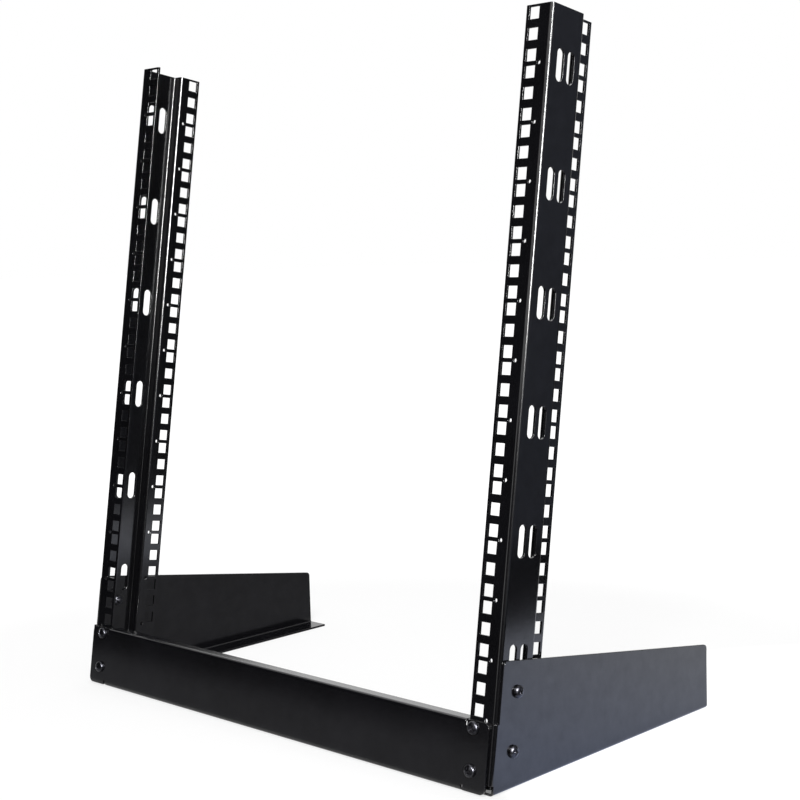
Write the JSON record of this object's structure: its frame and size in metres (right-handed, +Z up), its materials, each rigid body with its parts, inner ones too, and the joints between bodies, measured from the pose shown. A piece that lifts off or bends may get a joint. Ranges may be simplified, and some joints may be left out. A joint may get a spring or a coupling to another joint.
{
  "type": "desktop frame rack",
  "caption": "Open desktop rack frame: square-hole posts that lean back on a base of a front bar and tapered side brackets.",
  "frame": {"origin": "middle of the underside of the front bar's floor flange, on the floor and on the centre plane", "axes": "+X to the right post as seen from the front, +Y to the rear along the brackets, +Z up"},
  "size_m": [0.511, 0.2914, 0.5803],
  "materials": {
    "powder_coat": "satin",
    "black_screw": "glossy"
  },
  "bodies": {
    "root": {"left_post": "powder_coat", "right_post": "powder_coat", "front_bar": "powder_coat", "left_bracket": "powder_coat", "right_bracket": "powder_coat", "left_front_upper_screw": "black_screw", "left_front_upper_nut": "black_screw", "left_front_lower_screw": "black_screw", "left_front_lower_nut": "black_screw", "left_side_upper_screw": "black_screw", "left_side_upper_nut": "black_screw", "left_side_lower_screw": "black_screw", "left_side_lower_nut": "black_screw", "right_front_upper_screw": "black_screw", "right_front_upper_nut": "black_screw", "right_front_lower_screw": "black_screw", "right_front_lower_nut": "black_screw", "right_side_upper_screw": "black_screw", "right_side_upper_nut": "black_screw", "right_side_lower_screw": "black_screw", "right_side_lower_nut": "black_screw"}
  },
  "joints": []
}
